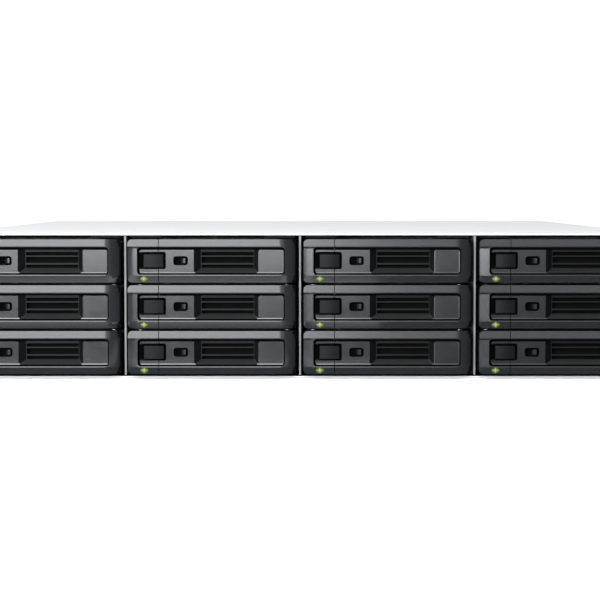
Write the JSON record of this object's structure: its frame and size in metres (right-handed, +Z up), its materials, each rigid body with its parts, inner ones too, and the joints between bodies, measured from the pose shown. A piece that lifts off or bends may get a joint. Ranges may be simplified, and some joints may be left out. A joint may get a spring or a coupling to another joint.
{
  "type": "network attached storage",
  "caption": "Rack-mount storage server with hot-swap drive trays, each with a hinged handle, release button and status light, in a light sheet-metal case.",
  "frame": {"origin": "centre of the bounding box, on the underside of the chassis", "axes": "+Z up, the drive bays face -Y, +X to the right of someone facing the bays"},
  "size_m": [0.482, 0.552, 0.088],
  "materials": {
    "painted_steel": "fine satin powder coat, light grey",
    "bare_steel": "zinc-plated sheet",
    "tray_plastic": "moulded, semi-gloss dark grey",
    "button_plastic": "moulded, fine-textured black",
    "drive_metal": "cast and plated",
    "bezel_plastic": "moulded, semi-gloss dark grey",
    "power_button_plastic": "moulded black",
    "circuit_board": "solder mask, green",
    "heatsink_metal": "extruded",
    "supply_case": "plated sheet",
    "inlet_plastic": "moulded black",
    "port_shell": "stamped and plated",
    "fan_plastic": "moulded black",
    "rotor_plastic": "moulded black"
  },
  "bodies": {
    "root": {"chassis_base": "painted_steel", "top_cover": "painted_steel", "rear_panel": "bare_steel", "bay_divider_1": "bare_steel", "bay_divider_2": "bare_steel", "bay_divider_3": "bare_steel", "rack_ear_left": "bare_steel", "rack_ear_right": "bare_steel", "ear_bezel_left": "bezel_plastic", "ear_bezel_right": "bezel_plastic", "backplane": "circuit_board", "main_board": "circuit_board", "cpu_heatsink": "heatsink_metal", "power_supply": "supply_case", "power_inlet": "inlet_plastic", "lan_ports": "port_shell", "usb_ports": "port_shell", "fan_frame_1": "fan_plastic", "fan_frame_2": "fan_plastic", "fan_frame_3": "fan_plastic"},
    "tray_1": {"drive_tray_1": "drive_metal"},
    "handle_1": {"tray_handle_1": "tray_plastic"},
    "button_1": {"release_button_1": "button_plastic"},
    "tray_2": {"drive_tray_2": "drive_metal"},
    "handle_2": {"tray_handle_2": "tray_plastic"},
    "button_2": {"release_button_2": "button_plastic"},
    "tray_3": {"drive_tray_3": "drive_metal"},
    "handle_3": {"tray_handle_3": "tray_plastic"},
    "button_3": {"release_button_3": "button_plastic"},
    "tray_4": {"drive_tray_4": "drive_metal"},
    "handle_4": {"tray_handle_4": "tray_plastic"},
    "button_4": {"release_button_4": "button_plastic"},
    "tray_5": {"drive_tray_5": "drive_metal"},
    "handle_5": {"tray_handle_5": "tray_plastic"},
    "button_5": {"release_button_5": "button_plastic"},
    "tray_6": {"drive_tray_6": "drive_metal"},
    "handle_6": {"tray_handle_6": "tray_plastic"},
    "button_6": {"release_button_6": "button_plastic"},
    "tray_7": {"drive_tray_7": "drive_metal"},
    "handle_7": {"tray_handle_7": "tray_plastic"},
    "button_7": {"release_button_7": "button_plastic"},
    "tray_8": {"drive_tray_8": "drive_metal"},
    "handle_8": {"tray_handle_8": "tray_plastic"},
    "button_8": {"release_button_8": "button_plastic"},
    "tray_9": {"drive_tray_9": "drive_metal"},
    "handle_9": {"tray_handle_9": "tray_plastic"},
    "button_9": {"release_button_9": "button_plastic"},
    "tray_10": {"drive_tray_10": "drive_metal"},
    "handle_10": {"tray_handle_10": "tray_plastic"},
    "button_10": {"release_button_10": "button_plastic"},
    "tray_11": {"drive_tray_11": "drive_metal"},
    "handle_11": {"tray_handle_11": "tray_plastic"},
    "button_11": {"release_button_11": "button_plastic"},
    "tray_12": {"drive_tray_12": "drive_metal"},
    "handle_12": {"tray_handle_12": "tray_plastic"},
    "button_12": {"release_button_12": "button_plastic"},
    "power_button": {"power_button": "power_button_plastic"},
    "fan_1": {"fan_rotor_1": "rotor_plastic"},
    "fan_2": {"fan_rotor_2": "rotor_plastic"},
    "fan_3": {"fan_rotor_3": "rotor_plastic"}
  },
  "joints": [
    {"name": "tray_slide_1", "type": "slide", "parent": "root", "child": "tray_1", "axis": [0, -1, 0], "range_m": [0, 0.16]},
    {"name": "handle_hinge_1", "type": "hinge", "parent": "tray_1", "child": "handle_1", "pos_m": [-0.1131, -0.2645, 0.07145], "axis": [0, 0, 1], "range_deg": [0, 60]},
    {"name": "tray_slide_2", "type": "slide", "parent": "root", "child": "tray_2", "axis": [0, -1, 0], "range_m": [0, 0.16]},
    {"name": "handle_hinge_2", "type": "hinge", "parent": "tray_2", "child": "handle_2", "pos_m": [-0.0067, -0.2645, 0.07145], "axis": [0, 0, 1], "range_deg": [0, 60]},
    {"name": "tray_slide_3", "type": "slide", "parent": "root", "child": "tray_3", "axis": [0, -1, 0], "range_m": [0, 0.16]},
    {"name": "handle_hinge_3", "type": "hinge", "parent": "tray_3", "child": "handle_3", "pos_m": [0.0997, -0.2645, 0.07145], "axis": [0, 0, 1], "range_deg": [0, 60]},
    {"name": "tray_slide_4", "type": "slide", "parent": "root", "child": "tray_4", "axis": [0, -1, 0], "range_m": [0, 0.16]},
    {"name": "handle_hinge_4", "type": "hinge", "parent": "tray_4", "child": "handle_4", "pos_m": [0.2061, -0.2645, 0.07145], "axis": [0, 0, 1], "range_deg": [0, 60]},
    {"name": "tray_slide_5", "type": "slide", "parent": "root", "child": "tray_5", "axis": [0, -1, 0], "range_m": [0, 0.16]},
    {"name": "handle_hinge_5", "type": "hinge", "parent": "tray_5", "child": "handle_5", "pos_m": [-0.1131, -0.2645, 0.0437], "axis": [0, 0, 1], "range_deg": [0, 60]},
    {"name": "tray_slide_6", "type": "slide", "parent": "root", "child": "tray_6", "axis": [0, -1, 0], "range_m": [0, 0.16]},
    {"name": "handle_hinge_6", "type": "hinge", "parent": "tray_6", "child": "handle_6", "pos_m": [-0.0067, -0.2645, 0.0437], "axis": [0, 0, 1], "range_deg": [0, 60]},
    {"name": "tray_slide_7", "type": "slide", "parent": "root", "child": "tray_7", "axis": [0, -1, 0], "range_m": [0, 0.16]},
    {"name": "handle_hinge_7", "type": "hinge", "parent": "tray_7", "child": "handle_7", "pos_m": [0.0997, -0.2645, 0.0437], "axis": [0, 0, 1], "range_deg": [0, 60]},
    {"name": "tray_slide_8", "type": "slide", "parent": "root", "child": "tray_8", "axis": [0, -1, 0], "range_m": [0, 0.16]},
    {"name": "handle_hinge_8", "type": "hinge", "parent": "tray_8", "child": "handle_8", "pos_m": [0.2061, -0.2645, 0.0437], "axis": [0, 0, 1], "range_deg": [0, 60]},
    {"name": "tray_slide_9", "type": "slide", "parent": "root", "child": "tray_9", "axis": [0, -1, 0], "range_m": [0, 0.16]},
    {"name": "handle_hinge_9", "type": "hinge", "parent": "tray_9", "child": "handle_9", "pos_m": [-0.1131, -0.2645, 0.01595], "axis": [0, 0, 1], "range_deg": [0, 60]},
    {"name": "tray_slide_10", "type": "slide", "parent": "root", "child": "tray_10", "axis": [0, -1, 0], "range_m": [0, 0.16]},
    {"name": "handle_hinge_10", "type": "hinge", "parent": "tray_10", "child": "handle_10", "pos_m": [-0.0067, -0.2645, 0.01595], "axis": [0, 0, 1], "range_deg": [0, 60]},
    {"name": "tray_slide_11", "type": "slide", "parent": "root", "child": "tray_11", "axis": [0, -1, 0], "range_m": [0, 0.16]},
    {"name": "handle_hinge_11", "type": "hinge", "parent": "tray_11", "child": "handle_11", "pos_m": [0.0997, -0.2645, 0.01595], "axis": [0, 0, 1], "range_deg": [0, 60]},
    {"name": "tray_slide_12", "type": "slide", "parent": "root", "child": "tray_12", "axis": [0, -1, 0], "range_m": [0, 0.16]},
    {"name": "handle_hinge_12", "type": "hinge", "parent": "tray_12", "child": "handle_12", "pos_m": [0.2061, -0.2645, 0.01595], "axis": [0, 0, 1], "range_deg": [0, 60]},
    {"name": "power_button_press", "type": "slide", "parent": "root", "child": "power_button", "axis": [0, 1, 0], "range_m": [0, 0.0012], "stiffness_N_per_m": 400},
    {"name": "fan_spin_1", "type": "hinge", "parent": "root", "child": "fan_1", "pos_m": [-0.142, -0.077, 0.0432], "axis": [0, 1, 0], "continuous": true},
    {"name": "fan_spin_2", "type": "hinge", "parent": "root", "child": "fan_2", "pos_m": [0, -0.077, 0.0432], "axis": [0, 1, 0], "continuous": true},
    {"name": "fan_spin_3", "type": "hinge", "parent": "root", "child": "fan_3", "pos_m": [0.142, -0.077, 0.0432], "axis": [0, 1, 0], "continuous": true},
    {"name": "button_press_1", "type": "slide", "parent": "tray_1", "child": "button_1", "axis": [0, 1, 0], "range_m": [0, 0.0016], "stiffness_N_per_m": 300},
    {"name": "button_press_2", "type": "slide", "parent": "tray_2", "child": "button_2", "axis": [0, 1, 0], "range_m": [0, 0.0016], "stiffness_N_per_m": 300},
    {"name": "button_press_3", "type": "slide", "parent": "tray_3", "child": "button_3", "axis": [0, 1, 0], "range_m": [0, 0.0016], "stiffness_N_per_m": 300},
    {"name": "button_press_4", "type": "slide", "parent": "tray_4", "child": "button_4", "axis": [0, 1, 0], "range_m": [0, 0.0016], "stiffness_N_per_m": 300},
    {"name": "button_press_5", "type": "slide", "parent": "tray_5", "child": "button_5", "axis": [0, 1, 0], "range_m": [0, 0.0016], "stiffness_N_per_m": 300},
    {"name": "button_press_6", "type": "slide", "parent": "tray_6", "child": "button_6", "axis": [0, 1, 0], "range_m": [0, 0.0016], "stiffness_N_per_m": 300},
    {"name": "button_press_7", "type": "slide", "parent": "tray_7", "child": "button_7", "axis": [0, 1, 0], "range_m": [0, 0.0016], "stiffness_N_per_m": 300},
    {"name": "button_press_8", "type": "slide", "parent": "tray_8", "child": "button_8", "axis": [0, 1, 0], "range_m": [0, 0.0016], "stiffness_N_per_m": 300},
    {"name": "button_press_9", "type": "slide", "parent": "tray_9", "child": "button_9", "axis": [0, 1, 0], "range_m": [0, 0.0016], "stiffness_N_per_m": 300},
    {"name": "button_press_10", "type": "slide", "parent": "tray_10", "child": "button_10", "axis": [0, 1, 0], "range_m": [0, 0.0016], "stiffness_N_per_m": 300},
    {"name": "button_press_11", "type": "slide", "parent": "tray_11", "child": "button_11", "axis": [0, 1, 0], "range_m": [0, 0.0016], "stiffness_N_per_m": 300},
    {"name": "button_press_12", "type": "slide", "parent": "tray_12", "child": "button_12", "axis": [0, 1, 0], "range_m": [0, 0.0016], "stiffness_N_per_m": 300}
  ]
}
